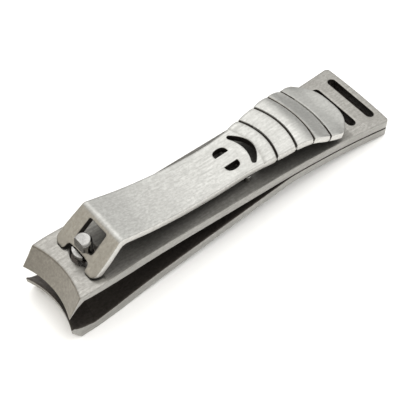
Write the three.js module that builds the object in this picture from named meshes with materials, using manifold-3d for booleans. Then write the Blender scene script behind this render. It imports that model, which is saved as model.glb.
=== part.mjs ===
// Lever-type nail clipper in its folded position, at real size.
// Units are millimetres. X runs along the length, jaws at -X and tail at +X. Y is the width and Z is up.
// The clipper stands on z = 0, on the heel of its lower jaw and on the end of its tail.
import * as THREE from 'three';
import { mergeVertices } from 'three/addons/utils/BufferGeometryUtils.js';
import Module from 'manifold-3d';

const wasm = await Module();
wasm.setup();

// Overall size
const LENGTH = 80;
const ARM_SHEET = 2.1;
const LEVER_SHEET = 1.6;
const GAP = 0.3;
const JAW_X = -LENGTH / 2;
const TAIL_X = LENGTH / 2;

// Arms: one knee each, where the two sheets part
const KNEE_X = 14;
const TAIL_SLOPE = 0.14;
const LOWER_SLOPE = 0.0765;
const LOWER_UNDER_SLOPE = 0.086;
const UPPER_SLOPE = 0.091;
const KNEE_ROUND = 3;
const FLEX_GAP = 0.3;
const THINNED = { startX: -26, endX: -33, amount: 0.5 };

// Jaws: the cutting edges are arcs, hollow towards the front
const EDGE_CENTRE_X = -56.1;
const UPPER_EDGE_Z = 8.1;
const LOWER_EDGE_Z = 4.05;
const UPPER_OUTER = [[17.0, 6.8], [17.7, UPPER_EDGE_Z], [20.25, 12.55], [21.2, 14.2]];
const UPPER_INNER = [[17.95, UPPER_EDGE_Z], [18.7, 9.0], [19.7, 10.0], [20.9, 10.9], [22.4, 11.3], [22.4, 12]];
const LOWER_OUTER = [[19.7, -1], [19.4, 0], [17.75, 2.9], [17.75, LOWER_EDGE_Z + 1]];
const LOWER_INNER = [[22.4, 0.8], [22.4, 2.0], [20.2, 2.7], [18.9, 3.4], [18.1, LOWER_EDGE_Z]];
const JAW_BLOCK_X = -32.5;

// Plan of the arms: half width at stations along X
const ARM_PLAN = [[-41, 7.25], [-37, 7.45], [-33, 7.6], [-20, 7.35], [0, 7.7], [20, 8.1], [30, 8.55], [39, 9.35]];
const TAIL_CORNER_X = 39.65;
const SLOT_XS = [32.5, 37.5];
const SLOT_WIDTH = 1.9;
const SLOT_HALF_LENGTHS = [6.1, 6.5];

// Lever: side line of its top surface, from the tail end to the bend above the tab
const LEVER_TOP = [
  [31.4, 8.05], [28, 8.65], [24, 10.1], [20.5, 11.75], [17, 12.45], [12, 12.35], [6, 12.4],
  [0, 12.55], [-4, 12.95], [-8, 13.55], [-12, 14.3], [-16, 15.25], [-20, 16.4], [-25.4, 18.3],
];
const BEND = [-26.25, 18.6];
const BEND_BACK = 0.5;
const TAB_SLOPE = Math.atan2(0.633, 0.774);
const TAB_LENGTH = 9.3;
const SOLE_Z = 12.75;
const LEVER_PLAN = [
  [-34, 6.1], [-30, 5.95], [-26, 5.6], [-20, 5.45], [-10, 5.25], [0, 5.1], [5, 5.2], [10, 5.75],
  [16, 6.5], [20, 7.05], [24, 7.65], [27.2, 8.0],
];
const LEVER_END_X = 31.4;

// Tab cut-outs, measured down the tab from the bend
const WINDOW = { top: 1.2, bottom: 6.1, half: 2.5, corner: 0.4 };
const CUTOUT = { top: 7.4, half: 3.1 };
const FOOT = { half: 6.0, corner: 1.7 };
const CROSSBAR_DOWN = (WINDOW.bottom + CUTOUT.top) / 2;

// Grooves across the lever: x where each meets the edge, and the half width there
const GROOVES = [[11.0, 5.8], [15.5, 6.4], [19.8, 7.0], [24.0, 7.6]];
const GROOVE_RISE = 1.5;
const GROOVE_WIDTH = 0.5;
const GROOVE_DEPTH = 0.45;

// Post, rivets and stops
const POST_X = -30.7;
const POST_RADIUS = 1.7;
const POST_HOLE_RADIUS = 2.7;
const POST_TOP_Z = 17.1;
const NOTCH_RADIUS = 1.2;
const LIP = { radius: 2.3, half: 1.6, bottom: 11.9, waist: 13.0, top: 14.4 };
const POST_FLANGE = { radius: 3.3, bottom: 0.12, top: 0.95, recess: 3.8 };
const RIVET_XS = [18, 25];
const RIVET_RADIUS = 1.5;
const RIVET_HEAD_RADIUS = 2.5;
const RIVET_HEAD_DEPTH = 0.9;
const STOP = { x: 4.6, y: 4.6, radius: 0.65 };

// Side lines of the sheets
const tailBottom = (x) => TAIL_SLOPE * (TAIL_X - x);
const kneeBottom = tailBottom(KNEE_X);
const lowerBottom = (x) => kneeBottom - LOWER_UNDER_SLOPE * (KNEE_X - x);
const lowerTop = (x) => kneeBottom + ARM_SHEET - LOWER_SLOPE * (KNEE_X - x);
const tailTop = (x) => tailBottom(x) + 2 * ARM_SHEET + GAP;
const upperTop = (x) => tailTop(KNEE_X) + UPPER_SLOPE * (KNEE_X - x);

const CROSSBAR = new THREE.Vector2(
  BEND[0] - CROSSBAR_DOWN * Math.cos(TAB_SLOPE) + (LEVER_SHEET / 2) * Math.sin(TAB_SLOPE),
  BEND[1] - CROSSBAR_DOWN * Math.sin(TAB_SLOPE) - (LEVER_SHEET / 2) * Math.cos(TAB_SLOPE),
);

// A closed three.js geometry as a manifold solid
function solid(geometry) {
  const plain = geometry.index ? geometry.toNonIndexed() : geometry.clone();
  for (const name of Object.keys(plain.attributes)) {
    if (name !== 'position') plain.deleteAttribute(name);
  }
  const merged = mergeVertices(plain, 1e-5);
  return new wasm.Manifold(new wasm.Mesh({
    numProp: 3,
    vertProperties: new Float32Array(merged.attributes.position.array),
    triVerts: new Uint32Array(merged.index.array),
  }));
}

// A manifold solid as a three.js geometry
function toGeometry(manifold) {
  const mesh = manifold.getMesh();
  const geometry = new THREE.BufferGeometry();
  geometry.setAttribute('position', new THREE.BufferAttribute(new Float32Array(mesh.vertProperties), 3));
  geometry.setIndex(new THREE.BufferAttribute(new Uint32Array(mesh.triVerts), 1));
  geometry.computeVertexNormals();
  return geometry;
}

// An outline drawn in X and Z, extruded across the width
function sideSolid(shape, width = 30, segments = 12) {
  const geometry = new THREE.ExtrudeGeometry(shape, { depth: width, bevelEnabled: false, curveSegments: segments });
  geometry.rotateX(Math.PI / 2);
  geometry.translate(0, width / 2, 0);
  return solid(geometry);
}

// An outline drawn in X and Y, extruded upwards from z0 to z1
function planSolid(shape, z0 = -5, z1 = 25, segments = 12) {
  const geometry = new THREE.ExtrudeGeometry(shape, { depth: z1 - z0, bevelEnabled: false, curveSegments: segments });
  geometry.translate(0, 0, z0);
  return solid(geometry);
}

// A solid of revolution about a vertical axis through (x, y), from radius and height pairs
function turnedSolid(profile, x, y = 0, segments = 32) {
  const geometry = new THREE.LatheGeometry(profile.map(([r, z]) => new THREE.Vector2(r, z)), segments);
  geometry.rotateX(Math.PI / 2);
  geometry.translate(x, y, 0);
  const result = solid(geometry);
  return result.volume() < 0 ? solid(flipped(geometry)) : result;
}

function flipped(geometry) {
  const index = geometry.index.array;
  for (let i = 0; i < index.length; i += 3) {
    [index[i], index[i + 1]] = [index[i + 1], index[i]];
  }
  return geometry;
}

function box(x0, x1, y0, y1, z0, z1) {
  const geometry = new THREE.BoxGeometry(x1 - x0, y1 - y0, z1 - z0);
  geometry.translate((x0 + x1) / 2, (y0 + y1) / 2, (z0 + z1) / 2);
  return solid(geometry);
}

const cylinder = (radius, x, y, z0, z1) => turnedSolid([[0, z0], [radius, z0], [radius, z1], [0, z1]], x, y);

// Half widths along X as a closed outline, symmetrical about y = 0, with a bowed end
function planShape(stations, cornerX, endX) {
  const near = new THREE.SplineCurve(stations.map(([x, w]) => new THREE.Vector2(x, -w))).getPoints(40);
  const [lastX, lastW] = stations.at(-1);
  const shape = new THREE.Shape(near);
  shape.quadraticCurveTo(cornerX, -lastW - 0.05, cornerX + 0.1, -lastW + 1.2);
  shape.quadraticCurveTo(endX, -lastW / 2, endX, 0);
  shape.quadraticCurveTo(endX, lastW / 2, cornerX + 0.1, lastW - 1.2);
  shape.quadraticCurveTo(cornerX, lastW + 0.05, lastX, lastW);
  for (const point of near.reverse()) shape.lineTo(point.x, -point.y);
  return shape;
}

// A straight slot with round ends, across the width
function slotShape(x, halfLength, width) {
  const r = width / 2;
  const shape = new THREE.Shape();
  shape.moveTo(x + r, -halfLength + r);
  shape.lineTo(x + r, halfLength - r);
  shape.absarc(x, halfLength - r, r, 0, Math.PI, false);
  shape.lineTo(x - r, -halfLength + r);
  shape.absarc(x, -halfLength + r, r, Math.PI, 2 * Math.PI, false);
  return shape;
}

const armPlan = planSolid(planShape(ARM_PLAN, TAIL_CORNER_X, TAIL_X));
const outerJaw = (profile) => turnedSolid([[0, profile[0][1]], ...profile, [0, profile.at(-1)[1]]], EDGE_CENTRE_X, 0, 96);

// The bent tip of a jaw: between its outer and inner cones
function jawTip(outer, inner, z0, z1) {
  const column = outerJaw(inner);
  return box(JAW_X - 2, JAW_BLOCK_X, -10, 10, z0, z1).intersect(column).subtract(outerJaw(outer)).intersect(armPlan);
}

// A straight length of arm sheet between two x, hung from its top line
function straightSheet(x0, x1, top) {
  const outline = [[x0, top(x0)], [x0, top(x0) - ARM_SHEET], [x1, top(x1) - ARM_SHEET], [x1, top(x1)]];
  const shape = new THREE.Shape(outline.map(([x, z]) => new THREE.Vector2(x, z)));
  return sideSolid(shape).intersect(armPlan);
}

function makeLowerArm() {
  const farX = JAW_X - 2;
  const shape = new THREE.Shape();
  const kneeLeft = KNEE_X - KNEE_ROUND;
  const kneeRight = KNEE_X + KNEE_ROUND;
  shape.moveTo(farX, lowerBottom(farX));
  shape.lineTo(kneeLeft, lowerBottom(kneeLeft));
  shape.quadraticCurveTo(KNEE_X, kneeBottom, kneeRight, tailBottom(kneeRight));
  shape.lineTo(TAIL_X + 2, tailBottom(TAIL_X + 2));
  shape.lineTo(TAIL_X + 2, tailBottom(TAIL_X + 2) + ARM_SHEET);
  shape.lineTo(kneeRight, tailBottom(kneeRight) + ARM_SHEET);
  shape.quadraticCurveTo(KNEE_X, kneeBottom + ARM_SHEET, kneeLeft, lowerTop(kneeLeft));
  shape.lineTo(farX, lowerTop(farX));
  const sheet = sideSolid(shape).intersect(armPlan).subtract(outerJaw(LOWER_OUTER));
  const tip = jawTip(LOWER_OUTER, LOWER_INNER, lowerTop(JAW_BLOCK_X) - ARM_SHEET + 0.5, LOWER_EDGE_Z);
  return cutTail(sheet.add(tip))
    .subtract(cylinder(POST_RADIUS + 0.2, POST_X, 0, -1, 6))
    .subtract(cylinder(POST_FLANGE.recess, POST_X, 0, -1, POST_FLANGE.top + 0.15))
    .subtract(box(JAW_X - 2, TAIL_X + 2, -12, 12, -2, 0));
}

// Slots for a ring or cord, and the rivet holes
function cutTail(arm) {
  let result = arm;
  SLOT_XS.forEach((x, i) => {
    result = result.subtract(planSolid(slotShape(x, SLOT_HALF_LENGTHS[i], SLOT_WIDTH)));
  });
  for (const x of RIVET_XS) {
    result = result.subtract(cylinder(RIVET_RADIUS + 0.15, x, 0, -2, 14));
    result = result.subtract(cylinder(RIVET_HEAD_RADIUS + 0.3, x, 0, -2, tailBottom(x) + RIVET_HEAD_DEPTH + 0.15));
    result = result.subtract(cylinder(RIVET_HEAD_RADIUS + 0.3, x, 0, tailTop(x) - RIVET_HEAD_DEPTH - 0.15, 14));
  }
  return result;
}

function makeUpperArm() {
  const sheet = straightSheet(JAW_X - 2, KNEE_X - FLEX_GAP / 2, upperTop).subtract(outerJaw(UPPER_OUTER));
  const under = (x) => upperTop(x) - ARM_SHEET;
  const { startX, endX, amount } = THINNED;
  const thinned = new THREE.Shape([
    new THREE.Vector2(startX, under(startX)), new THREE.Vector2(endX, under(endX) + amount),
    new THREE.Vector2(JAW_X - 3, under(JAW_X - 3) + amount), new THREE.Vector2(JAW_X - 3, 5), new THREE.Vector2(startX, 5),
  ]);
  const tip = jawTip(UPPER_OUTER, UPPER_INNER, UPPER_EDGE_Z, upperTop(JAW_BLOCK_X) - 0.5);
  return sheet.subtract(sideSolid(thinned)).add(tip).subtract(cylinder(POST_HOLE_RADIUS, POST_X, 0, 6, 20));
}

function makeUpperArmTail() {
  return cutTail(straightSheet(KNEE_X + FLEX_GAP / 2, TAIL_X + 2, tailTop));
}

// The lever's sheet seen from the side: its top line, and the same line one sheet lower
function leverSide(thickness, down = 0) {
  const plate = new THREE.SplineCurve(LEVER_TOP.map(([x, z]) => new THREE.Vector2(x, z))).getPoints(48);
  const tabEnd = new THREE.Vector2(
    BEND[0] - TAB_LENGTH * Math.cos(TAB_SLOPE),
    BEND[1] - TAB_LENGTH * Math.sin(TAB_SLOPE),
  );
  const tabStart = new THREE.Vector2(
    BEND[0] - BEND_BACK * Math.cos(TAB_SLOPE),
    BEND[1] - BEND_BACK * Math.sin(TAB_SLOPE),
  );
  const bend = new THREE.QuadraticBezierCurve(plate.at(-1), new THREE.Vector2(...BEND), tabStart).getPoints(6);
  const line = [...plate, ...bend.slice(1), tabEnd];
  const lowered = (distance) => line.map((point, i) => {
    const before = line[Math.max(i - 1, 0)];
    const after = line[Math.min(i + 1, line.length - 1)];
    const along = new THREE.Vector2().subVectors(after, before).normalize();
    return new THREE.Vector2(point.x - along.y * distance, point.y + along.x * distance);
  });
  return new THREE.Shape([...lowered(down), ...lowered(down + thickness).reverse()]);
}

// A solid drawn on the tab: x is the distance down from the bend, y is the width
function tabSolid(shape) {
  const geometry = new THREE.ExtrudeGeometry(shape, { depth: 12, bevelEnabled: false, curveSegments: 8 });
  geometry.translate(0, 0, -6);
  geometry.rotateY(Math.PI - TAB_SLOPE);
  geometry.translate(BEND[0], 0, BEND[1]);
  return solid(geometry);
}

function windowShape({ top, bottom, half, corner }) {
  const shape = new THREE.Shape();
  shape.moveTo(top + corner, -half);
  shape.lineTo(bottom - corner, -half);
  shape.quadraticCurveTo(bottom, -half, bottom, -half + corner);
  shape.lineTo(bottom, half - corner);
  shape.quadraticCurveTo(bottom, half, bottom - corner, half);
  shape.lineTo(top + corner, half);
  shape.quadraticCurveTo(top, half, top, half - corner);
  shape.lineTo(top, -half + corner);
  shape.quadraticCurveTo(top, -half, top + corner, -half);
  return shape;
}

// The gap between the two feet
function cutoutShape({ top, half }) {
  const shape = new THREE.Shape();
  shape.moveTo(TAB_LENGTH + 2, -half - 0.6);
  shape.lineTo(TAB_LENGTH + 2, half + 0.6);
  shape.lineTo(TAB_LENGTH, half + 0.6);
  shape.quadraticCurveTo(TAB_LENGTH - 0.2, half, top + 0.7, half);
  shape.quadraticCurveTo(top, half, top, half - 0.9);
  shape.lineTo(top, -half + 0.9);
  shape.quadraticCurveTo(top, -half, top + 0.7, -half);
  shape.quadraticCurveTo(TAB_LENGTH - 0.2, -half, TAB_LENGTH, -half - 0.6);
  return shape;
}

// What is cut away outside the round corner of a foot
function footCornerShape(side) {
  const start = TAB_LENGTH - FOOT.corner;
  const shape = new THREE.Shape();
  shape.moveTo(TAB_LENGTH + 2, side * 8);
  shape.lineTo(start, side * 8);
  shape.lineTo(start, side * (FOOT.half + 0.1));
  shape.quadraticCurveTo(TAB_LENGTH, side * FOOT.half, TAB_LENGTH, side * (FOOT.half - FOOT.corner));
  shape.lineTo(TAB_LENGTH + 2, side * (FOOT.half - FOOT.corner));
  return shape;
}

// A crescent mouth that bows towards the tail
function mouthShape() {
  const shape = new THREE.Shape();
  const [tipX, tipY, end] = [6.9, 3.75, 0.42];
  shape.moveTo(tipX - end, -tipY + end);
  shape.quadraticCurveTo(8.45, 0, tipX - end, tipY - end);
  shape.absarc(tipX, tipY, 0.58, Math.PI * 1.2, Math.PI * 0.25, true);
  shape.quadraticCurveTo(11.7, 0, tipX + end, -tipY - end);
  shape.absarc(tipX, -tipY, 0.58, -Math.PI * 0.25, -Math.PI * 1.2, true);
  return shape;
}

// An eye is a half disc, its flat side towards the centre line
function eyeShape(side) {
  const shape = new THREE.Shape();
  shape.moveTo(4.7, side * 1.3);
  shape.quadraticCurveTo(4.8, side * 2.95, 3.0, side * 2.95);
  shape.quadraticCurveTo(1.2, side * 2.95, 1.45, side * 1.3);
  return shape;
}

// A ring band about the centre of each groove's arc
function grooveBand(edgeX, halfWidth) {
  const radius = (halfWidth ** 2 + GROOVE_RISE ** 2) / (2 * GROOVE_RISE);
  const centreX = edgeX + GROOVE_RISE - radius;
  const inner = radius - GROOVE_WIDTH / 2;
  const outer = radius + GROOVE_WIDTH / 2;
  return turnedSolid([[inner, 0], [outer, 0], [outer, 20], [inner, 20], [inner, 0]], centreX, 0, 160);
}

function makeLever() {
  const plan = planSolid(planShape(LEVER_PLAN, 28.9, LEVER_END_X));
  let lever = sideSolid(leverSide(LEVER_SHEET)).intersect(plan);
  for (const shape of [windowShape(WINDOW), cutoutShape(CUTOUT), footCornerShape(1), footCornerShape(-1)]) {
    lever = lever.subtract(tabSolid(shape));
  }
  for (const shape of [mouthShape(), eyeShape(1), eyeShape(-1)]) lever = lever.subtract(planSolid(shape));
  const skin = sideSolid(leverSide(GROOVE_DEPTH + 1, -1)).intersect(box(5, TAIL_X, -12, 12, 0, 20));
  for (const [edgeX, halfWidth] of GROOVES) lever = lever.subtract(grooveBand(edgeX, halfWidth).intersect(skin));
  return lever.subtract(box(-40, -20, -12, 12, 0, SOLE_Z));
}

// A pin with a flange under the lower arm, and a notch with a front lip that holds the lever's crossbar
function makePost() {
  const { radius, bottom, top } = POST_FLANGE;
  const pin = turnedSolid([
    [0, bottom], [radius, bottom], [radius, top], [POST_RADIUS, top],
    [POST_RADIUS, POST_TOP_Z - 0.45], [POST_RADIUS - 0.35, POST_TOP_Z], [0, POST_TOP_Z],
  ], POST_X);
  const frontX = POST_X - 4;
  const collar = turnedSolid([
    [0, LIP.bottom], [POST_RADIUS, LIP.bottom], [LIP.radius, LIP.waist], [LIP.radius, LIP.top], [0, LIP.top],
  ], POST_X).intersect(box(frontX, POST_X, -LIP.half, LIP.half, LIP.bottom, LIP.top));
  const notch = new THREE.Shape();
  notch.moveTo(frontX, LIP.top - 0.1);
  notch.lineTo(CROSSBAR.x - NOTCH_RADIUS, LIP.top - 0.1);
  notch.lineTo(CROSSBAR.x - NOTCH_RADIUS, CROSSBAR.y);
  notch.absarc(CROSSBAR.x, CROSSBAR.y, NOTCH_RADIUS, Math.PI, Math.PI * 2.5, false);
  notch.lineTo(POST_X - POST_RADIUS + 0.5, CROSSBAR.y + NOTCH_RADIUS);
  notch.lineTo(POST_X - POST_RADIUS + 0.9, POST_TOP_Z + 1);
  notch.lineTo(frontX, POST_TOP_Z + 1);
  return pin.add(collar).subtract(sideSolid(notch, 12, 16));
}

// A solid rivet with a flush head at each face of the tail
function makeRivet(x) {
  const bottom = tailBottom(x + RIVET_HEAD_RADIUS) + 0.05;
  const top = tailTop(x + RIVET_HEAD_RADIUS) - 0.05;
  return turnedSolid([
    [0, bottom], [RIVET_HEAD_RADIUS, bottom], [RIVET_HEAD_RADIUS, tailBottom(x) + RIVET_HEAD_DEPTH - 0.15],
    [RIVET_RADIUS, tailBottom(x) + RIVET_HEAD_DEPTH - 0.15], [RIVET_RADIUS, tailTop(x) - RIVET_HEAD_DEPTH + 0.15],
    [RIVET_HEAD_RADIUS, tailTop(x) - RIVET_HEAD_DEPTH + 0.15], [RIVET_HEAD_RADIUS, top], [0, top],
  ], x, 0, 24);
}

// A short pin on the upper arm that the lever rests on
function makeStop(side) {
  const top = new THREE.SplineCurve(LEVER_TOP.map(([x, z]) => new THREE.Vector2(x, z)))
    .getPoints(200).reduce((best, point) => (Math.abs(point.x - STOP.x) < Math.abs(best.x - STOP.x) ? point : best));
  return cylinder(STOP.radius, STOP.x, side * STOP.y, upperTop(STOP.x) + 0.1, top.y - LEVER_SHEET - 0.25);
}

const satinSteel = new THREE.MeshStandardMaterial({ color: 0xb9b6b0, roughness: 0.38, metalness: 1 });
const groundSteel = new THREE.MeshStandardMaterial({ color: 0xa39b91, roughness: 0.3, metalness: 1 });
const brightSteel = new THREE.MeshStandardMaterial({ color: 0xc9c7c4, roughness: 0.2, metalness: 1 });

function piece(name, manifold, material) {
  const mesh = new THREE.Mesh(toGeometry(manifold), material);
  mesh.name = name;
  return mesh;
}

const clipper = new THREE.Group();
clipper.add(piece('lower_arm', makeLowerArm(), satinSteel));
clipper.add(piece('upper_arm', makeUpperArm(), satinSteel));
clipper.add(piece('upper_arm_tail', makeUpperArmTail(), satinSteel));
clipper.add(piece('lever', makeLever(), groundSteel));
clipper.add(piece('post', makePost(), brightSteel));
clipper.add(piece('front_rivet', makeRivet(RIVET_XS[0]), brightSteel));
clipper.add(piece('rear_rivet', makeRivet(RIVET_XS[1]), brightSteel));
clipper.add(piece('left_stop', makeStop(1), brightSteel));
clipper.add(piece('right_stop', makeStop(-1), brightSteel));

export default clipper;
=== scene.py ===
"""Visual model of a lever-type nail clipper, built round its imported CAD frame.

Sizes are in millimetres until a mesh is made. X runs along the clipper with the jaws at -X,
Y is the width and Z is up.
"""

import math

import bmesh
import bpy
import numpy as np
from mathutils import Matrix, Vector


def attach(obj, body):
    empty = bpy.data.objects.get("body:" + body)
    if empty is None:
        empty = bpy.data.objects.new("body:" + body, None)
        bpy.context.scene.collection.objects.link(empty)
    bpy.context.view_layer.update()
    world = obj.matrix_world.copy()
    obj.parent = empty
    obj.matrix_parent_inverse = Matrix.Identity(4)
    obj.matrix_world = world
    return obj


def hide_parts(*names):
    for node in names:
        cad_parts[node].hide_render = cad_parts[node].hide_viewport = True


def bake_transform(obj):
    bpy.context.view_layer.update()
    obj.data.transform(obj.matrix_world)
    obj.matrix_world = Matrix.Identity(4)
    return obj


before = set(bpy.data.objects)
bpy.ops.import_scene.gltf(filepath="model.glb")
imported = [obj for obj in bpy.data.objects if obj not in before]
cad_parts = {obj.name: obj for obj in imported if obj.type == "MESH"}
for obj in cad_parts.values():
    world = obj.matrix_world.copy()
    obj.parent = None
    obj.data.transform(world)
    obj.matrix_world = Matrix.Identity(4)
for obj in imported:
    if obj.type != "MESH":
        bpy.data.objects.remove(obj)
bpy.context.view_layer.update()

MM = 0.001

# Camera: where it stands, in millimetres, and where it looks
CAMERA_PLACE = (-84.98, -98.12, 183.75)
CAMERA_AZIMUTH = -39.7
CAMERA_ELEVATION = 54.55
SENSOR = 36.0
LENS = 100.8
WORLD_STRENGTH = 2.0
WORLD_TINT = (1.0, 1.0, 0.985)
WORLD_TINT_AT_JAWS = (0.62, 0.59, 0.54)
FLOOR_HALF = 1500
FLOOR_COLOUR = (0.93, 0.93, 0.93, 1)

# Arms: two sheets that part at a knee
TAIL_X = 40.0
KNEE_X = 14.0
ARM_SHEET = 2.1
ARM_GAP = 0.3
TAIL_SLOPE = 0.14
LOWER_SLOPE = 0.0765
LOWER_UNDER_SLOPE = 0.086
UPPER_SLOPE = 0.091
THINNED_FROM_X = -26.0
THINNED_TO_X = -33.0
THINNED_BY = 0.5
ARM_PLAN = [(-41, 7.25), (-37, 7.45), (-33, 7.6), (-20, 7.35), (0, 7.7), (20, 8.1), (30, 8.55), (39, 9.35),
            (41, 9.45)]
ARM_FILLET = 0.27
ARM_FILLET_SHARE = 0.3
ARM_ACROSS = 33
ARM_STEP = 0.55
ARM_STEPS_FROM = 1.5
ARM_CORNER_TO = 1.2
KNEE_HALF = 4
KNEE_PASSES = 14
TAIL_BOW = 0.2
TAIL_BOW_FROM_X = 34.0
TAIL_BOW_HALF = 8.0
TAIL_CORNER = 1.0

# Jaws: radii from the centre of the edge's arc, with heights
EDGE_CENTRE_X = -56.1
ARC_FROM_X = -24.0
ARC_FULL_X = -33.0
UPPER_TIP_X = -33.5
UPPER_OUTER = [(20.32, 12.67), (17.7, 8.1)]
UPPER_INNER = [(21.23, 10.99), (20.9, 10.9), (19.7, 10.0), (18.7, 9.0), (17.95, 8.1)]
LOWER_TIP_X = -33.6
LOWER_OUTER = [(19.4, 0.0), (17.75, 2.9), (17.75, 4.05)]
LOWER_INNER = [(20.2, 2.7), (18.9, 3.4), (18.1, 4.05)]
TIP_ROWS = 64
TIP_PASSES = 5

# Cuts in the arms
SLOTS = [(32.5, 6.1), (37.5, 6.5)]
SLOT_WIDTH = 1.9
POST_X = -30.7
POST_HOLE = 2.7
POST_CLEARANCE = 1.9
FLANGE_RECESS = 3.8
FLANGE_RECESS_TOP = 1.1
RIVET_XS = (18.0, 25.0)
RIVET_RECESS = 2.8
RIVET_RECESS_DEPTH = 1.05
RIVET_BORE = 1.65
CUT_FLARE = 0.16
CUT_CLEAR = 0.012
CUT_PAST = 1.0
RECESS_PAST = 2
BORE_ENDS = (-2, 14)
SHARP_ANGLE = 33

# Lever
LEVER_SHEET = 1.6
LEVER_FILLET = 0.34
LEVER_ACROSS = 41
LEVER_DIRECTION_HALF = 0.3
LEVER_TOP = [(31.4, 8.05), (28, 8.65), (24, 10.1), (20.5, 11.75), (17, 12.45), (12, 12.35), (6, 12.4),
             (0, 12.55), (-4, 12.95), (-8, 13.55), (-12, 14.3), (-16, 15.25), (-20, 16.4), (-25.4, 18.3)]
BEND = (-26.25, 18.6)
BEND_BACK = 0.5
INNER_BEND = 1.9
TAB_SLOPE = math.atan2(0.633, 0.774)
TAB_LENGTH = 9.3
TAB_WIDTH_FROM_X = -26
SOLE_Z = 12.75
SOLE_CUT = {"front": -40, "back": -20, "half": 9}
LEVER_PLAN = [(-34, 6.1), (-30, 5.95), (-26, 5.6), (-20, 5.45), (-10, 5.25), (0, 5.1), (5, 5.2), (10, 5.75),
              (16, 6.5), (20, 7.05), (24, 7.65), (27.2, 8.0), (32, 8.2)]
WINDOW = {"top": 1.2, "bottom": 6.1, "half": 2.5, "corner": 0.45}
CUTOUT = {"top": 7.4, "half": 3.1, "corner": 0.8, "flare": 0.6}
FOOT_CORNER = 1.7
OPENING_FLARE = 0.2
MARK_FLARE = 0.12
MOUTH = {"tip_x": 6.9, "tip_y": 3.75, "tip_radius": 0.45, "inner_x": 8.45, "outer_x": 11.7}
EYE = {"back": 4.6, "back_bulge": 4.8, "crown": 3.0, "front_bulge": 1.2, "front": 1.45,
       "inner": 1.35, "outer": 2.95}
GROOVES = (12.5, 17.0, 21.3, 25.5)
GROOVE_DEPTH = 0.5
GROOVE_HALF = 0.2
GROOVE_RISE = 1.5
BOW_FROM_X = 3.0
BOW_FULL_X = 11.0
RIB_RISE = 0.2
RIB_FULLNESS = 0.8
RIB_UNDER_SHARE = 0.6
RIB_SWELL = 0.13
FIRST_RIB = 3.2
RIBS_END = 3.3
LAST_RIB_PAST = 0.5
NOTCH_IN = 0.16
END_RISE = 4.2
RIB_STEP = 0.08
PLATE_STEP = 0.5
PLATE_END_X = -24.0
BEND_STEP = 0.18

# Post, rivets and stops
POST_RADIUS = 1.7
POST_TOP = 17.1
POST_CROWN = {"height": 0.45, "inset": 0.35}
POST_FRONT = POST_X - 4
AXIS_RADIUS = 0.01
CROSSBAR = (-30.97, 13.71)
NOTCH_RADIUS = 1.2
LIP = {"radius": 2.3, "half": 1.6, "bottom": 11.9, "waist": 13.0, "top": 14.3}
LIP_BACK = 0.037  # off the post's axis, to keep clear of the collar's corners
LIP_ROUND = 0.25
LIP_CUT = 0.1
NOTCH_FACE = 0.5
NOTCH_MOUTH = 0.9
LATHE_SEGMENTS = 64
COLLAR_SEGMENTS = 61  # odd, so that none of its edges meets one of the post's
FLANGE = {"radius": 3.3, "bottom": 0.12, "top": 0.95}
RIVET_RADIUS = 2.5
RIVET_SHANK = 1.5
RIVET_HEAD_DEPTH = 0.75
RIVET_SINK = 0.05
TURNED_ROUND = 0.12
STOP = {"x": 4.6, "y": 4.6, "radius": 0.65, "low_gap": 0.1, "high_gap": 0.25, "round": 0.15, "segments": 32}


def tail_bottom(x):
    return TAIL_SLOPE * (TAIL_X - x)


def tail_top(x):
    return tail_bottom(x) + 2 * ARM_SHEET + ARM_GAP


def below_knee(x, tail_line, slope):
    """A side line that follows the tail's and then keeps its own slope on the jaws' side of the knee."""
    return np.where(x < KNEE_X, tail_line(KNEE_X) + slope * (KNEE_X - x), tail_line(x))


def lower_bottom(x):
    return np.maximum(below_knee(x, tail_bottom, -LOWER_UNDER_SLOPE), 0.0)


def lower_top(x):
    return below_knee(x, tail_bottom, -LOWER_SLOPE) + ARM_SHEET


def upper_top(x):
    return below_knee(x, tail_top, UPPER_SLOPE)


def upper_bottom(x):
    thinned = THINNED_BY * np.clip((THINNED_FROM_X - x) / (THINNED_FROM_X - THINNED_TO_X), 0, 1)
    return upper_top(x) - ARM_SHEET + thinned


def ease(value, start, end):
    """0 before start, 1 after end and a smooth rise between them."""
    t = np.clip((value - start) / (end - start), 0, 1)
    return t * t * (3 - 2 * t)


def spline(points, per_span=12):
    """Points on a smooth curve through the given ones."""
    p = np.array([points[0], *points, points[-1]], float)
    t = np.linspace(0, 1, per_span, endpoint=False)[:, None]
    spans = []
    for a, b, c, d in zip(p, p[1:], p[2:], p[3:]):
        spans.append(0.5 * (2 * b + (c - a) * t + (2 * a - 5 * b + 4 * c - d) * t**2
                            + (3 * b - a - 3 * c + d) * t**3))
    return np.vstack([*spans, p[-1]])


def plan_width(stations):
    """A function that gives the half width at x."""
    curve = spline(stations)
    return lambda x: np.interp(x, curve[:, 0], curve[:, 1])


def resample(points, count):
    """Evenly spaced points along a polyline."""
    p = np.array(points, float)
    along = np.concatenate([[0], np.cumsum(np.linalg.norm(np.diff(p, axis=0), axis=1))])
    s = np.linspace(0, along[-1], count)
    return np.column_stack([np.interp(s, along, p[:, k]) for k in range(p.shape[1])])


def rounded(path, passes):
    """The path with its corners rounded; its two ends stay."""
    p = path.copy()
    for _ in range(passes):
        p[1:-1] = 0.25 * p[:-2] + 0.5 * p[1:-1] + 0.25 * p[2:]
    return p


# Mesh making

def new_object(name, vertices, faces):
    mesh = bpy.data.meshes.new(name)
    mesh.from_pydata([tuple(MM * c for c in v) for v in vertices], [], faces)
    work = bmesh.new()
    work.from_mesh(mesh)
    bmesh.ops.recalc_face_normals(work, faces=work.faces)
    work.to_mesh(mesh)
    work.free()
    obj = bpy.data.objects.new(name, mesh)
    bpy.context.scene.collection.objects.link(obj)
    return obj


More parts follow.
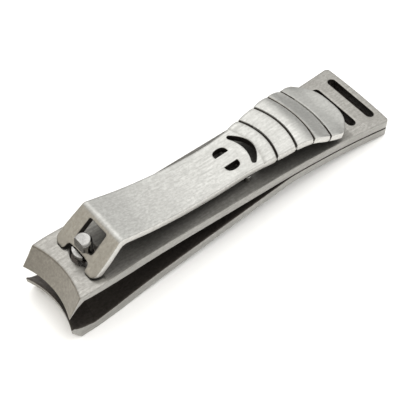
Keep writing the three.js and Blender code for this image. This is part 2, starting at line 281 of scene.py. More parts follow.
def skin(name, top, bottom):
    """A closed sheet between two grids of points, station by station and across."""
    stations, count, _ = top.shape
    rings = np.concatenate([top, bottom[:, ::-1]], axis=1)
    ring = 2 * count
    faces = []
    for i in range(stations - 1):
        for j in range(ring):
            k = (j + 1) % ring
            faces.append((i * ring + j, i * ring + k, (i + 1) * ring + k, (i + 1) * ring + j))
    for first in (0, (stations - 1) * ring):
        for j in range(count - 1):
            faces.append((first + j, first + j + 1, first + ring - 2 - j, first + ring - 1 - j))
    return new_object(name, rings.reshape(-1, 3), faces)


def section(half_width, fillet, inner):
    """Across one face of a sheet: each point's y, and how far its rounded edge lies below the face."""
    theta = np.radians(np.linspace(0, 90, 5))
    edge_y = half_width - fillet * (1 - np.cos(theta))
    edge_drop = fillet * (1 - np.sin(theta))
    flat = np.linspace(-(half_width - fillet), half_width - fillet, inner)[1:-1]
    y = np.concatenate([-edge_y, flat, edge_y[::-1]])
    drop = np.concatenate([edge_drop, np.zeros(len(flat)), edge_drop[::-1]])
    return y, drop


def loops_mesh(name, loops, place=None):
    """A closed solid from stacked loops of equal length, capped at both ends."""
    count = len(loops[0])
    vertices = [p for loop in loops for p in loop]
    if place:
        vertices = [place(*p) for p in vertices]
    faces = [tuple(range(count)), tuple(range((len(loops) - 1) * count, len(loops) * count))]
    for i in range(len(loops) - 1):
        for j in range(count):
            k = (j + 1) % count
            faces.append((i * count + j, i * count + k, (i + 1) * count + k, (i + 1) * count + j))
    return new_object(name, vertices, faces)


def offset_loop(outline, distance):
    """The outline moved outwards by a distance."""
    p = np.array(outline, float)
    before, after = np.roll(p, 1, axis=0), np.roll(p, -1, axis=0)
    area = np.sum(p[:, 0] * after[:, 1] - after[:, 0] * p[:, 1])
    e0, e1 = p - before, after - p
    normal = []
    for a, b in zip(e0, e1):
        n0 = np.array([a[1], -a[0]]) / max(np.linalg.norm(a), 1e-9)
        n1 = np.array([b[1], -b[0]]) / max(np.linalg.norm(b), 1e-9)
        mean = n0 + n1
        normal.append(mean / max(np.dot(mean, n0), 0.4))
    return p + math.copysign(distance, area) * np.array(normal)


def flared_cutter(name, outline, low, high, flare=CUT_FLARE, place=None):
    """A cutter for a sheet between the heights low and high; it rounds the edges that it leaves.

    None of its corners lies in either face of the sheet, where the cut would be ill defined.
    """
    levels = [(high, flare, CUT_PAST), (high, flare, CUT_CLEAR)]
    for theta in np.radians((60, 30, 0)):
        levels.append((high, flare * (1 - math.cos(theta)), -flare * (1 - math.sin(theta))))
    for theta in np.radians((0, 30, 60)):
        levels.append((low, flare * (1 - math.cos(theta)), flare * (1 - math.sin(theta))))
    levels += [(low, flare, -CUT_CLEAR), (low, flare, -CUT_PAST)]
    loops = []
    for surface, spread, height in levels:
        ring = offset_loop(outline, spread)
        loops.append([(a, b, float(surface(a)) + height) for a, b in ring])
    return loops_mesh(name, loops, place)


def lathe(name, profile, x=0.0, y=0.0, segments=LATHE_SEGMENTS):
    """A solid of revolution about a vertical axis, from radius and height pairs."""
    turn = np.linspace(0, 2 * math.pi, segments, endpoint=False)
    loops = [[(x + r * math.cos(a), y + r * math.sin(a), z) for a in turn] for r, z in profile]
    return loops_mesh(name, loops)


def applied(obj):
    """Bakes the object's modifiers into its mesh."""
    baked = bpy.data.meshes.new_from_object(obj.evaluated_get(bpy.context.evaluated_depsgraph_get()))
    obj.modifiers.clear()
    old, obj.data = obj.data, baked
    bpy.data.meshes.remove(old)
    return obj


def boolean(obj, others, operation="DIFFERENCE"):
    for other in others:
        modifier = obj.modifiers.new("cut", "BOOLEAN")
        modifier.operation = operation
        modifier.solver = "EXACT"
        modifier.object = other
        bpy.context.view_layer.update()
        applied(obj)
        bpy.data.objects.remove(other)
    return obj


def smooth(obj):
    obj.data.shade_smooth()
    obj.data.set_sharp_from_angle(angle=math.radians(SHARP_ANGLE))
    return obj


# Outlines, which may turn either way, as offset_loop reads the sense from the area

def arc(cx, cy, radius, start, end, count=10):
    turn = np.radians(np.linspace(start, end, count))
    return [(cx + radius * math.cos(a), cy + radius * math.sin(a)) for a in turn]


def bezier(a, control, b, count):
    t = np.linspace(0, 1, count)[:, None]
    a, control, b = np.array(a), np.array(control), np.array(b)
    return [tuple(p) for p in (1 - t) ** 2 * a + 2 * t * (1 - t) * control + t**2 * b]


def circle(cx, cy, radius, count=64):
    return arc(cx, cy, radius, 0, 360 - 360 / count, count)


def slot_outline(x, half_length):
    r = SLOT_WIDTH / 2
    return arc(x, half_length - r, r, 0, 180) + arc(x, -half_length + r, r, 180, 360)


def round_rectangle(a0, a1, half, corner):
    outline = []
    for ca, cb, start in ((a1 - corner, half - corner, 0), (a0 + corner, half - corner, 90),
                          (a0 + corner, -half + corner, 180), (a1 - corner, -half + corner, 270)):
        outline += arc(ca, cb, corner, start, start + 90, 6)
    return outline


def mouth_outline():
    """A crescent that bows towards the tail, with round tips."""
    tip_x, tip_y, tip_radius = MOUTH["tip_x"], MOUTH["tip_y"], MOUTH["tip_radius"]
    inner = bezier((tip_x - 0.38, -tip_y + 0.3), (MOUTH["inner_x"], 0), (tip_x - 0.38, tip_y - 0.3), 24)
    outer = bezier((tip_x + 0.4, tip_y + 0.25), (MOUTH["outer_x"], 0), (tip_x + 0.4, -tip_y - 0.25), 24)
    left = arc(tip_x, tip_y, tip_radius, 210, 45, 7)
    right = arc(tip_x, -tip_y, tip_radius, -45, -210, 7)
    return (inner + left[1:-1] + outer + right[1:-1])[::-1]


def eye_outline(side):
    """A half disc with its flat side towards the centre line."""
    inner, outer = EYE["inner"], EYE["outer"]
    crown = (EYE["crown"], outer)
    points = bezier((EYE["back"], inner), (EYE["back_bulge"], outer), crown, 9)
    points += bezier(crown, (EYE["front_bulge"], outer), (EYE["front"], inner), 9)[1:]
    return [(a, side * b) for a, b in points]


def cutout_outline():
    top, half, corner, flare = CUTOUT["top"], CUTOUT["half"], CUTOUT["corner"], CUTOUT["flare"]
    end = TAB_LENGTH + 2
    side = arc(top + corner, half - corner, corner, 180, 90, 6)
    side += bezier((top + corner, half), (TAB_LENGTH - 0.2, half), (TAB_LENGTH, half + flare), 5)[1:]
    side += [(end, half + flare)]
    return side + [(a, -b) for a, b in side[::-1]]


# Arms

def edge_bow(u, y):
    """How far a line across the arm lies ahead of its middle: an arc at the jaws, a bow at the tail."""
    radius = u - EDGE_CENTRE_X
    jaw = (1 - ease(u, ARC_FULL_X, ARC_FROM_X)) * (radius - np.sqrt(radius**2 - y**2))
    tail = ease(u, TAIL_BOW_FROM_X, TAIL_X) * TAIL_BOW * (y / TAIL_BOW_HALF) ** 2
    return jaw + tail


arm_width = plan_width(ARM_PLAN)


def arm_half_width(u):
    width = arm_width(u)
    for _ in range(3):
        width = arm_width(u - edge_bow(u, width))
    into = np.clip((u - (TAIL_X - TAIL_CORNER)) / TAIL_CORNER, 0, 1)
    return width - TAIL_CORNER * (1 - np.sqrt(1 - into**2))


def arm_sheet(name, upper_path, lower_path, slope):
    """A sheet between two side lines, each given as points (x at the middle, z)."""
    tops, bottoms = [], []
    for t, b in zip(upper_path, lower_path):
        gap = b - t
        thickness = np.linalg.norm(gap)
        down = gap / thickness
        y, drop = section(arm_half_width(t[0]), min(ARM_FILLET, ARM_FILLET_SHARE * thickness), ARM_ACROSS)
        faces = []
        for point, sign in ((t, 1), (b, -1)):
            x = point[0] - edge_bow(point[0], y) + sign * down[0] * drop
            z = point[1] + slope * edge_bow(point[0], y) + sign * down[1] * drop
            faces.append(np.column_stack([x, y, z]))
        tops.append(faces[0])
        bottoms.append(faces[1])
    return skin(name, np.array(tops), np.array(bottoms))


def squeeze_end(upper_path, lower_path):
    """Rounds the two lines towards each other over the last fillet's length at the tail."""
    back = upper_path[0][0] - upper_path[:, 0]
    inside = np.clip(1 - back / ARM_FILLET, 0, 1)
    drop = ARM_FILLET * (1 - np.sqrt(1 - inside**2))
    upper_path[:, 1] -= drop
    lower_path[:, 1] += drop


def arm_stations(tip_x):
    """x along the middle from the tail's end to where the jaw's tip starts, closer together at the end."""
    end = TAIL_X - ARM_FILLET * (1 - np.cos(np.radians(np.linspace(0, 90, 5))))
    corner = np.linspace(TAIL_X - ARM_FILLET, TAIL_X - ARM_CORNER_TO, 8)
    return np.concatenate([end, corner[1:], np.arange(TAIL_X - ARM_STEPS_FROM, tip_x, -ARM_STEP)])


def arm_paths(top_of, bottom_of, tip_x, top_tip, bottom_tip):
    """An arm's two side lines from the tail's end to the jaw's edge, with the knee and the tip rounded."""
    xs = arm_stations(tip_x)
    knee = np.abs(xs - KNEE_X) < KNEE_HALF
    paths = []
    for line, tip in ((top_of, top_tip), (bottom_of, bottom_tip)):
        z = line(xs).astype(float)
        bent = rounded(np.column_stack([xs, z]), KNEE_PASSES)
        z[knee] = bent[knee, 1]
        tip_points = [(tip_x, float(line(np.array(tip_x)))), *[(r + EDGE_CENTRE_X, h) for r, h in tip]]
        tip_path = rounded(resample(tip_points, TIP_ROWS), TIP_PASSES)
        paths.append(np.vstack([np.column_stack([xs, z]), tip_path]))
    squeeze_end(*paths)
    return paths


def cut_tail(arm, low, high, from_top):
    """Slots for a ring or cord, and the bores and head recesses of the rivets."""
    cutters = [flared_cutter("slot", slot_outline(x, half), low, high) for x, half in SLOTS]
    for x in RIVET_XS:
        face = high if from_top else low
        depth = -RIVET_RECESS_DEPTH if from_top else RIVET_RECESS_DEPTH
        ends = (face(x) + depth, face(x) + math.copysign(RECESS_PAST, -depth))
        cutters.append(lathe("recess", [(RIVET_RECESS, min(ends)), (RIVET_RECESS, max(ends))], x))
        cutters.append(lathe("bore", [(RIVET_BORE, end) for end in BORE_ENDS], x))
    return boolean(arm, cutters)


def make_upper_arm():
    paths = arm_paths(upper_top, upper_bottom, UPPER_TIP_X, UPPER_OUTER, UPPER_INNER)
    arm = arm_sheet("upper_arm_sheet", *paths, UPPER_SLOPE)
    cut_tail(arm, upper_bottom, upper_top, True)
    hole = flared_cutter("hole", circle(POST_X, 0, POST_HOLE), upper_bottom, upper_top)
    return smooth(boolean(arm, [hole]))


def make_lower_arm():
    paths = arm_paths(lower_top, lower_bottom, LOWER_TIP_X, LOWER_INNER, LOWER_OUTER)
    arm = arm_sheet("lower_arm_sheet", *paths, 0.0)
    cut_tail(arm, lower_bottom, lower_top, False)
    hole = flared_cutter("hole", circle(POST_X, 0, POST_CLEARANCE), lower_bottom, lower_top)
    recess = lathe("recess", [(FLANGE_RECESS, -CUT_PAST), (FLANGE_RECESS, FLANGE_RECESS_TOP)], POST_X)
    return smooth(boolean(arm, [hole, recess]))


# Lever

def lever_line():
    """The side line of the lever's top face, from the thumb end to the feet: position along it, x and z.

    The position is x on the plate, and goes on by length round the bend and down the tab.
    """
    plate = spline(LEVER_TOP)
    down = np.array([-math.cos(TAB_SLOPE), -math.sin(TAB_SLOPE)])
    bend = np.array(BEND)
    curve = np.array(bezier(plate[-1], bend, bend + BEND_BACK * down, 12))
    tab = bend + np.linspace(BEND_BACK, TAB_LENGTH, 30)[1:, None] * down
    line = np.vstack([plate, curve[1:], tab])
    q = line[:, 0].copy()
    for i in range(len(plate), len(line)):
        q[i] = q[i - 1] - np.linalg.norm(line[i] - line[i - 1])
    return q, line


LEVER_Q, LEVER_LINE = lever_line()
lever_width = plan_width(LEVER_PLAN)


def along_line(q, values):
    """Values kept at the points of the lever's side line, read at other positions along it."""
    return np.column_stack([np.interp(q, LEVER_Q[::-1], values[::-1, k]) for k in (0, 1)])


def lever_under_line():
    """The side line of the lever's lower face, with its own round in the bend, and the upper's normals."""
    reach = LEVER_DIRECTION_HALF
    along = along_line(LEVER_Q + reach, LEVER_LINE) - along_line(LEVER_Q - reach, LEVER_LINE)
    along /= np.linalg.norm(along, axis=1)[:, None]
    normals = np.column_stack([-along[:, 1], along[:, 0]])
    under = LEVER_LINE - LEVER_SHEET * normals
    first, last = BEND[0] + INNER_BEND, BEND[0] - INNER_BEND
    inside = (LEVER_Q < first) & (LEVER_Q > last)
    ends = along_line(np.array([first, last]), under)
    plate, tab = along_line(np.array([first, last]), along)
    meet = np.linalg.solve(np.column_stack([plate, -tab]), ends[1] - ends[0])
    t = ((first - LEVER_Q[inside]) / (first - last))[:, None]
    under[inside] = (1 - t) ** 2 * ends[0] + 2 * t * (1 - t) * (ends[0] + meet[0] * plate) + t**2 * ends[1]
    return under, normals


LEVER_UNDER, LEVER_NORMALS = lever_under_line()


def lever_bow(q, share):
    """How far the lines across the lever bend back at the share of the half width."""
    grown = ease(q, BOW_FROM_X, BOW_FULL_X) * GROOVE_RISE
    end = ease(q, GROOVES[-1], LEVER_Q[0])
    power = 2 + end
    return (grown + end * (END_RISE - GROOVE_RISE)) * np.abs(share) ** power


def rib_height(q):
    """Rounded ribs with grooves between them, as heights over the plain face."""
    marks = [GROOVES[0] - FIRST_RIB, *GROOVES, LEVER_Q[0] + LAST_RIB_PAST]
    height = 0.0
    for a, b in zip(marks, marks[1:]):
        t = np.clip((q - a) / (b - a), 0, 1)
        height += RIB_RISE * (4 * t * (1 - t)) ** RIB_FULLNESS
    groove = 0.0
    for mark in GROOVES:
        groove += GROOVE_DEPTH * np.exp(-((q - mark) / GROOVE_HALF) ** 4)
    return height, groove


def lever_stations():
    end = LEVER_Q[0]
    first = end - LEVER_FILLET * (1 - np.cos(np.radians(np.linspace(0, 90, 6))))
    ribs = np.arange(end - LEVER_FILLET - 0.1, GROOVES[0] - RIBS_END, -RIB_STEP)
    plate = np.arange(ribs[-1] - 0.3, PLATE_END_X, -PLATE_STEP)
    rest = np.arange(plate[-1] - 0.2, LEVER_Q[-1] + LEVER_FILLET + 0.1, -BEND_STEP)
    last = LEVER_Q[-1] + LEVER_FILLET * (1 - np.cos(np.radians(np.linspace(90, 0, 5))))
    return np.concatenate([first, ribs, plate, rest, last])


def lever_half_width(q):
    """The plan's half width, swollen at the ribs, notched at the grooves and rounded at the feet."""
    rise, groove = rib_height(q)
    swell = RIB_SWELL * rise / RIB_RISE - NOTCH_IN * groove / GROOVE_DEPTH
    if q > TAB_WIDTH_FROM_X:
        width = lever_width(q - lever_bow(q, 1.0))
    else:
        width = lever_width(along_line(np.array([q]), LEVER_LINE)[0][0])
    into = np.clip((LEVER_Q[-1] + FOOT_CORNER - q) / FOOT_CORNER, 0, 1)
    return float(width + swell - FOOT_CORNER * (1 - math.sqrt(max(1 - into**2, 0))))


def lever_sheet():
    tops, bottoms = [], []
    for q in lever_stations():
        half = lever_half_width(q)
        y, drop = section(half, LEVER_FILLET, LEVER_ACROSS)
        place = q - lever_bow(q, y / half)
        normal = along_line(place, LEVER_NORMALS)
        rise, groove = rib_height(q)
        start = np.clip(1 - (LEVER_Q[0] - q) / LEVER_FILLET, 0, 1)
        stop = np.clip(1 - (q - LEVER_Q[-1]) / LEVER_FILLET, 0, 1)
        pinch = LEVER_FILLET * (1 - math.sqrt(1 - max(start, stop) ** 2))
        edge = np.maximum(drop, pinch)
        upper = along_line(place, LEVER_LINE) + normal * (rise - groove - edge)[:, None]
        lower = along_line(place, LEVER_UNDER) + normal * (RIB_UNDER_SHARE * rise + edge)[:, None]
        for face, grid in ((upper, tops), (lower, bottoms)):
            grid.append(np.column_stack([face[:, 0], y, face[:, 1]]))
    return skin("lever_sheet", np.array(tops), np.array(bottoms))


def on_tab(a, b, c):
    """From distance down the tab, width and height over its face to x, y and z."""
    cos, sin = math.cos(TAB_SLOPE), math.sin(TAB_SLOPE)
    return BEND[0] - a * cos - c * sin, b, BEND[1] - a * sin + c * cos


def make_lever():
    lever = lever_sheet()
    order = np.argsort(LEVER_LINE[:, 0])

    def top_of(x):
        return np.interp(x, LEVER_LINE[order, 0], LEVER_LINE[order, 1])

    front, back, half = SOLE_CUT["front"], SOLE_CUT["back"], SOLE_CUT["half"]
    corners = [(front, -half), (back, -half), (back, half), (front, half)]
    cutters = [loops_mesh("sole", [[(a, b, z) for a, b in corners] for z in (0, SOLE_Z)])]
    cutters += [flared_cutter("mark", outline, lambda x: top_of(x) - LEVER_SHEET, top_of, MARK_FLARE)
                for outline in (mouth_outline(), eye_outline(1), eye_outline(-1)[::-1])]
    window = round_rectangle(WINDOW["top"], WINDOW["bottom"], WINDOW["half"], WINDOW["corner"])
    for outline in (window, cutout_outline()):
        cutters.append(flared_cutter("opening", outline, lambda a: -LEVER_SHEET, lambda a: 0.0,
                                     OPENING_FLARE, on_tab))
    return smooth(boolean(lever, cutters))


# Turned pieces

def rounded_profile(profile, radius):
    """A lathe profile whose corners, but for the ends, are cut by a small round."""
    points = [profile[0]]
    for before, corner, after in zip(profile, profile[1:], profile[2:]):
        c = np.array(corner)
        for_before = c + radius * (np.array(before) - c) / np.linalg.norm(np.array(before) - c)
        for_after = c + radius * (np.array(after) - c) / np.linalg.norm(np.array(after) - c)
        points += [tuple(p) for p in bezier(for_before, c, for_after, 5)]
    return [*points, profile[-1]]


def collar_piece():
    """The post's lip: a collar with a conical underside, kept only in front of the post."""
    collar = lathe("collar", rounded_profile([
        (AXIS_RADIUS, LIP["bottom"]), (POST_RADIUS - 0.1, LIP["bottom"]), (LIP["radius"], LIP["waist"]),
        (LIP["radius"], LIP["top"]), (AXIS_RADIUS, LIP["top"])], LIP_ROUND), POST_X, segments=COLLAR_SEGMENTS)
    back, half = POST_X + LIP_BACK, LIP["half"]
    keep = [(POST_FRONT, -half), (back, -half), (back, half), (POST_FRONT, half)]
    block = loops_mesh("block", [[(a, b, z) for a, b in keep] for z in (LIP["bottom"] - 1, LIP["top"] + 1)])
    return boolean(collar, [block], "INTERSECT")


def notch_outline():
    """The crossbar's bed, open towards the jaws above the lip; seen from the side, as x and z."""
    top = POST_TOP + 1
    cx, cz = CROSSBAR
    face = POST_X - POST_RADIUS
    shelf = LIP["top"] - LIP_CUT
    outline = [(POST_FRONT, shelf), (cx - NOTCH_RADIUS, shelf)]
    outline += arc(cx, cz, NOTCH_RADIUS, 180, 450, 28)
    return outline + [(face + NOTCH_FACE, cz + NOTCH_RADIUS), (face + NOTCH_MOUTH, top), (POST_FRONT, top)]


def make_post():
    profile = rounded_profile([
        (AXIS_RADIUS, FLANGE["bottom"]), (FLANGE["radius"], FLANGE["bottom"]),
        (FLANGE["radius"], FLANGE["top"]), (POST_RADIUS, FLANGE["top"]),
        (POST_RADIUS, POST_TOP - POST_CROWN["height"]),
        (POST_RADIUS - POST_CROWN["inset"], POST_TOP), (AXIS_RADIUS, POST_TOP)], TURNED_ROUND)
    post = boolean(lathe("post_pin", profile, POST_X), [collar_piece()], "UNION")
    notch = loops_mesh("notch", [[(a, y, c) for a, c in notch_outline()] for y in (-6, 6)])
    return smooth(boolean(post, [notch]))


def make_rivet(x, name):
    low = tail_bottom(x + RIVET_RADIUS) + RIVET_SINK
    high = tail_top(x + RIVET_RADIUS) - RIVET_SINK
    under, over = tail_bottom(x) + RIVET_HEAD_DEPTH, tail_top(x) - RIVET_HEAD_DEPTH
    profile = [(AXIS_RADIUS, low), (RIVET_RADIUS, low), (RIVET_RADIUS, under), (RIVET_SHANK, under),
               (RIVET_SHANK, over), (RIVET_RADIUS, over), (RIVET_RADIUS, high), (AXIS_RADIUS, high)]
    return smooth(lathe(name, rounded_profile(profile, TURNED_ROUND), x))


def make_stop(side, name):
    order = np.argsort(LEVER_LINE[:, 0])
    under = np.interp(STOP["x"], LEVER_LINE[order, 0], LEVER_LINE[order, 1]) - LEVER_SHEET
    low = float(upper_top(np.array(STOP["x"]))) + STOP["low_gap"]
    high = under - STOP["high_gap"]
    profile = [(AXIS_RADIUS, low), (STOP["radius"], low), (STOP["radius"], high), (AXIS_RADIUS, high)]
    return smooth(lathe(name, rounded_profile(profile, STOP["round"]), STOP["x"], side * STOP["y"],
                        STOP["segments"]))


# Materials

def node(tree, kind, inputs=None, **settings):
    made = tree.nodes.new(kind)
    for key, value in settings.items():
        setattr(made, key, value)
    for key, value in (inputs or {}).items():
        made.inputs[key].default_value = value
    return made


def noise(tree, coordinates, scale, detail):
    """Noise stretched by a different scale on each axis, per metre."""
    mapping = node(tree, "ShaderNodeMapping", {"Scale": scale})
    texture = node(tree, "ShaderNodeTexNoise", {"Scale": 1.0, "Detail": detail, "Roughness": 0.6})
    tree.links.new(coordinates, mapping.inputs["Vector"])
    tree.links.new(mapping.outputs["Vector"], texture.inputs["Vector"])
    return texture.outputs["Fac"]


def ramp(tree, value, low, high, to_low, to_high):
    limits = {"From Min": low, "From Max": high, "To Min": to_low, "To Max": to_high}
    made = node(tree, "ShaderNodeMapRange", limits)
    tree.links.new(value, made.inputs["Value"])
    return made.outputs["Result"]


def mix(tree, share, first, second):
    made = node(tree, "ShaderNodeMix", data_type="RGBA")
    tree.links.new(share, made.inputs["Factor"])
    made.inputs[6].default_value = (*first, 1)
    made.inputs[7].default_value = (*second, 1)
    return made.outputs[2]


def lever_shade_level(tree, place, lever_shade):
    """A factor along x for painted shade: 1 at both ends, and lower between them, where the lever covers the
    arm.
    """
    axes = node(tree, "ShaderNodeSeparateXYZ")
    tree.links.new(place, axes.inputs[0])
    start, deep, rise, end = (x * MM for x in lever_shade["xs"])
    front = ramp(tree, axes.outputs["X"], start, deep, 1.0, lever_shade["level"])
    back = ramp(tree, axes.outputs["X"], rise, end, 0.0, 1.0 - lever_shade["level"])
    level = node(tree, "ShaderNodeMath", operation="ADD")
    tree.links.new(front, level.inputs[0])
    tree.links.new(back, level.inputs[1])
    return level.outputs[0]


def product(tree, first, second):
    made = node(tree, "ShaderNodeMath", operation="MULTIPLY")
    tree.links.new(first, made.inputs[0])
    tree.links.new(second, made.inputs[1])
    return made.outputs[0]


def steel(name, light, dark, rough, grain, bump, lever_shade=None):
    """Steel with fine lines, specks and soft smudges, and, when asked for, painted shade where the lever
    covers it.
    """
    material = bpy.data.materials.new(name)
    material.use_nodes = True
    tree = material.node_tree
    shader = tree.nodes["Principled BSDF"]
    shader.inputs["Metallic"].default_value = 1.0
    place = node(tree, "ShaderNodeTexCoord").outputs["Object"]
    lines = noise(tree, place, grain, 3)
    specks = noise(tree, place, SPECKS, 2)
    smudge = noise(tree, place, SMUDGES, 2)
    streaks = ramp(tree, lines, 0.3, 0.7, 0.45, 1.0)
    clouds = ramp(tree, smudge, 0.3, 0.7, 0.75, 1.0)
    share = product(tree, product(tree, streaks, clouds), ramp(tree, specks, 0.32, 0.68, 0.4, 1.25))
    colour = mix(tree, share, dark, light)
    if lever_shade:
        shade = node(tree, "ShaderNodeVectorMath", operation="SCALE")
        tree.links.new(colour, shade.inputs[0])
        tree.links.new(lever_shade_level(tree, place, lever_shade), shade.inputs["Scale"])
        colour = shade.outputs[0]
    tree.links.new(colour, shader.inputs["Base Color"])
    tree.links.new(ramp(tree, lines, 0.3, 0.7, rough + 0.07, rough - 0.05), shader.inputs["Roughness"])
    bumps = node(tree, "ShaderNodeBump", {"Strength": bump, "Distance": BUMP_HEIGHT})
    tree.links.new(lines, bumps.inputs["Height"])
    tree.links.new(bumps.outputs["Normal"], shader.inputs["Normal"])
    return material


def paint(obj, wanted):
    """Gives each face the material number that wanted() picks from its middle, in mm, and normal."""
    count = len(obj.data.polygons)
    middle, normal = np.empty(3 * count), np.empty(3 * count)
    obj.data.polygons.foreach_get("center", middle)
    obj.data.polygons.foreach_get("normal", normal)
    index = wanted(middle.reshape(-1, 3) / MM, normal.reshape(-1, 3))
    obj.data.polygons.foreach_set("material_index", index.astype(np.int32))


def finish_piece(obj, materials, body, replaces, finish=None):
    """Gives a piece its materials, its body and the CAD nodes that it stands for."""
    obj.data.materials.clear()
    for material in materials:
        obj.data.materials.append(material)
    if finish:
        paint(obj, finish)
    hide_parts(*replaces)
    if body:
        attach(obj, body)
    return obj


# Studio

def make_camera():
    azimuth, elevation = math.radians(CAMERA_AZIMUTH), math.radians(CAMERA_ELEVATION)
    back = Vector((math.sin(azimuth) * math.cos(elevation), -math.cos(azimuth) * math.cos(elevation),
                   math.sin(elevation)))
    data = bpy.data.cameras.new("camera")
    data.sensor_width = SENSOR
    data.lens = LENS
    data.clip_start = 0.01
    camera = bpy.data.objects.new("camera", data)
    camera.location = Vector(CAMERA_PLACE) * MM
    camera.rotation_mode = "QUATERNION"
    camera.rotation_quaternion = (-back).to_track_quat("-Z", "Y")
    bpy.context.scene.collection.objects.link(camera)
    bpy.context.scene.camera = camera


def make_floor():
    half = FLOOR_HALF
    corners = [(-half, -half, 0), (half, -half, 0), (half, half, 0), (-half, half, 0)]
    floor = new_object("floor", corners, [(0, 1, 2, 3)])
    material = bpy.data.materials.new("paper")
    material.use_nodes = True
    shader = material.node_tree.nodes["Principled BSDF"]
    shader.inputs["Base Color"].default_value = FLOOR_COLOUR
    shader.inputs["Roughness"].default_value = 0.9
    shader.inputs["Specular IOR Level"].default_value = 0.1
    floor.data.materials.append(material)


def make_world():
    """A soft studio: bright from above, dimmer near the horizon and warmer and dimmer on the jaws' side."""
    world = bpy.data.worlds.new("studio")
    world.use_nodes = True
    tree = world.node_tree
    axes = node(tree, "ShaderNodeSeparateXYZ")
    tree.links.new(node(tree, "ShaderNodeTexCoord").outputs["Generated"], axes.inputs[0])
    height = ramp(tree, axes.outputs["Z"], 0.2, 0.55, 0.3, 1.0)
    side = ramp(tree, axes.outputs["X"], -0.9, 0.2, 0.0, 1.0)
    tint = mix(tree, side, WORLD_TINT_AT_JAWS, WORLD_TINT)
    background = tree.nodes["Background"]
    tree.links.new(tint, background.inputs["Color"])
    strength = node(tree, "ShaderNodeMath", {1: WORLD_STRENGTH}, operation="MULTIPLY")
    tree.links.new(height, strength.inputs[0])
    tree.links.new(strength.outputs[0], background.inputs["Strength"])
    bpy.context.scene.world = world


def make_light(name, place, target, size, power):
    data = bpy.data.lights.new(name, "AREA")
    data.shape = "DISK"
    data.size = size
    data.energy = power
    light = bpy.data.objects.new(name, data)
    light.location = Vector(place)
    light.rotation_mode = "QUATERNION"
    light.rotation_quaternion = (Vector(target) - Vector(place)).to_track_quat("-Z", "Y")
    bpy.context.scene.collection.objects.link(light)


# Which finish each face gets, painted shade and painted light among them. The numbers are places in the list
# of materials that the piece is given.

FACING = 0.6  # a face looks along a direction if its normal has more of it than this, and is a wall if less
UNDER = -0.3
UP = 0.2
ABOVE = 0.9
TO_JAWS = -0.4
TO_SIDE = 0.75
WALL_REACH = 0.02
JAW_FACE_PAST = 1.5
# share of a groove's width that gets painted shade
GROOVE_SHADE_SHARE = 0.8
TAB_PAST = 0.4
OPENINGS_HALF = 4
MARKS = {"front": 1, "back": 10, "half": 4.4}


def in_slots(middle, normal):
    """The walls of the tail's slots."""
    wall = np.abs(normal[:, 2]) < FACING
    half_width = SLOT_WIDTH / 2 + WALL_REACH
    hit = np.zeros(len(middle), bool)
    for x, half in SLOTS:
        hit |= (np.abs(middle[:, 0] - x) < half_width) & (np.abs(middle[:, 1]) < half + WALL_REACH)
    return wall & hit


def jaw_face(middle, normal):
    """The ground bevel at a jaw's front."""
    return (normal[:, 0] < TO_JAWS) & (middle[:, 0] < ARC_FULL_X - JAW_FACE_PAST)


def long_side(normal):
    """The narrow faces along a sheet's two sides."""
    return np.abs(normal[:, 1]) > TO_SIDE


def upper_arm_finish(middle, normal):
    """0 arm, 1 painted shade on the slot walls and underside, 2 ground, 3 painted shade where the lever
    covers the arm, 4 sides painted lighter as a highlight.
    """
    x = middle[:, 0]
    # painted shade: the slot walls and the arm's underside get near-black steel
    dark = in_slots(middle, normal) | ((normal[:, 2] < UNDER) & (x > UPPER_TIP_X - 1))
    # painted shade: the arm's top under the lever gets a darkened copy of its steel
    lever_shade = (normal[:, 2] > ABOVE) & (x > LEVER_SHADE["xs"][0]) & (x < LEVER_SHADE["xs"][-1])
    return np.select([dark, jaw_face(middle, normal), lever_shade, long_side(normal)], [1, 2, 3, 4], 0)


def lower_arm_finish(middle, normal):
    """0 arm, 1 painted shade on the slot walls and the face towards the upper arm, 2 ground, 3 sides painted
    lighter as a highlight.
    """
    # painted shade: the slot walls and the lower arm's top, which faces the upper arm, get near-black steel
    dark = in_slots(middle, normal) | (normal[:, 2] > FACING)
    return np.select([dark, jaw_face(middle, normal), long_side(normal)], [1, 2, 3], 0)


def lever_finish(middle, normal):
    """0 lever, 1 painted shade, 2 tab in its own painted tone for the light it faces, 3 painted shade
    underneath, 4 edges painted lighter as a highlight.
    """
    x, y = middle[:, 0], middle[:, 1]
    u = x + GROOVE_RISE * (y / np.maximum(lever_width(x), 1)) ** 2
    # painted shade: the grooves, the walls of the tab's openings and the walls of the face marks get
    # near-black steel
    groove = np.zeros(len(middle), bool)
    for mark in GROOVES:
        groove |= np.abs(u - mark) < GROOVE_HALF * GROOVE_SHADE_SHARE
    groove &= normal[:, 2] > UP
    on_the_tab = x < BEND[0] - TAB_PAST
    outward = math.cos(TAB_SLOPE) * normal[:, 2] - math.sin(TAB_SLOPE) * normal[:, 0]
    walls = on_the_tab & (np.abs(y) < OPENINGS_HALF) & (np.abs(outward) < FACING)
    marks = (x > MARKS["front"]) & (x < MARKS["back"]) & (np.abs(y) < MARKS["half"])
    marks &= np.abs(normal[:, 2]) < FACING
    # painted shade: faces under the plate and behind the tab get a darker copy of the lever's steel
    under = np.where(x < BEND[0], outward < UNDER, normal[:, 2] < UNDER)
    # painted light: the tab's outer face gets its own tone for the light it faces
    tab = on_the_tab & (outward > FACING)
    return np.select([groove | walls | marks, under, tab, long_side(normal)], [1, 3, 2, 4], 0)


# Materials and pieces

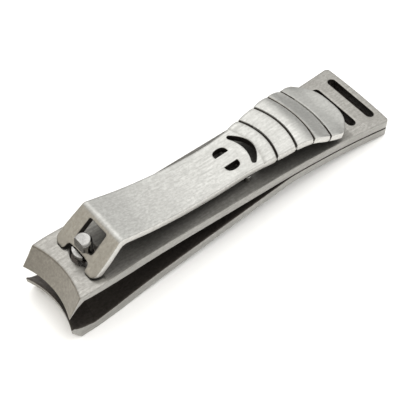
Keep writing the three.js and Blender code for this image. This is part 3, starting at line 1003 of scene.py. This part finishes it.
ARM_GRAIN = (130, 2600, 2600)
DARK_GRAIN = (700, 1400, 1400)
SPECKS = (1500, 2300, 2300)
SMUDGES = (90, 160, 160)
BUMP_HEIGHT = 0.00003
# painted shade: where along x, and by how much, the arm's colour is darkened under the lever
LEVER_SHADE = {"xs": (-31.0, -20.0, 24.0, 30.0), "level": 0.58}
arm_colours = ((0.28, 0.272, 0.255), (0.165, 0.158, 0.145))
# painted highlight: the arms' long sides get a lighter copy of the arm's steel
side_highlight_colours = ((0.38, 0.372, 0.352), (0.25, 0.243, 0.226))
arm_steel = steel("arm_steel", *arm_colours, 0.3, ARM_GRAIN, 0.4)
lever_shade_steel = steel("lever_shade_steel", *arm_colours, 0.58, ARM_GRAIN, 0.4, LEVER_SHADE)
ground_steel = steel("ground_steel", (0.25, 0.232, 0.2), (0.165, 0.152, 0.13), 0.32, DARK_GRAIN, 0.4)
side_highlight_steel = steel("side_highlight_steel", *side_highlight_colours, 0.34, ARM_GRAIN, 0.4)
lever_steel = steel("lever_steel", (0.39, 0.387, 0.37), (0.255, 0.252, 0.24), 0.33, ARM_GRAIN, 0.4)
# painted light: the tab, bent from the plate's own sheet, gets a warmer tone of its own for the light it
# faces
tab_painted_light_steel = steel("tab_painted_light_steel", (0.43, 0.412, 0.37), (0.28, 0.265, 0.235), 0.36, DARK_GRAIN, 0.4)
# painted shade: the lever's underside gets a darker copy of its steel
underside_shade_steel = steel("underside_shade_steel", (0.27, 0.262, 0.245), (0.17, 0.164, 0.15), 0.4, DARK_GRAIN, 0.3)
# painted highlight: the lever's long sides get a lighter copy of its steel
edge_highlight_steel = steel("edge_highlight_steel", (0.66, 0.652, 0.625), (0.5, 0.492, 0.468), 0.5, ARM_GRAIN, 0.4)
post_steel = steel("post_steel", (0.3, 0.295, 0.285), (0.2, 0.195, 0.188), 0.2, (900, 900, 4200), 0.3)
# painted shade: near-black steel for slot walls, the faces between the arms, grooves and the walls of
# openings
painted_shade_steel = steel("painted_shade_steel", (0.085, 0.075, 0.068), (0.04, 0.035, 0.03), 0.5, DARK_GRAIN, 0.3)

finish_piece(make_lower_arm(), [arm_steel, painted_shade_steel, ground_steel, side_highlight_steel], "base",
             ["lower_arm"], lower_arm_finish)
upper_arm = finish_piece(make_upper_arm(),
                         [arm_steel, painted_shade_steel, ground_steel, lever_shade_steel, side_highlight_steel], None,
                         ["upper_arm", "upper_arm_tail"], upper_arm_finish)
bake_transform(upper_arm)
finish_piece(make_lever(), [lever_steel, painted_shade_steel, tab_painted_light_steel, underside_shade_steel, edge_highlight_steel],
             "handle", ["lever"], lever_finish)
finish_piece(make_post(), [post_steel], "pivot", ["post"])
for x, name in zip(RIVET_XS, ("front_rivet", "rear_rivet")):
    finish_piece(make_rivet(x, name + "_pin"), [post_steel], "base", [name])
for side, name in ((1, "left_stop"), (-1, "right_stop")):
    finish_piece(make_stop(side, name + "_pin"), [post_steel], "upper_jaw", [name])

bpy.context.scene.view_settings.view_transform = "Standard"
make_camera()
make_floor()
make_world()
make_light("softbox", place=(0.25, 0.2, 0.5), target=(0, 0, 0), size=0.35, power=0.25)
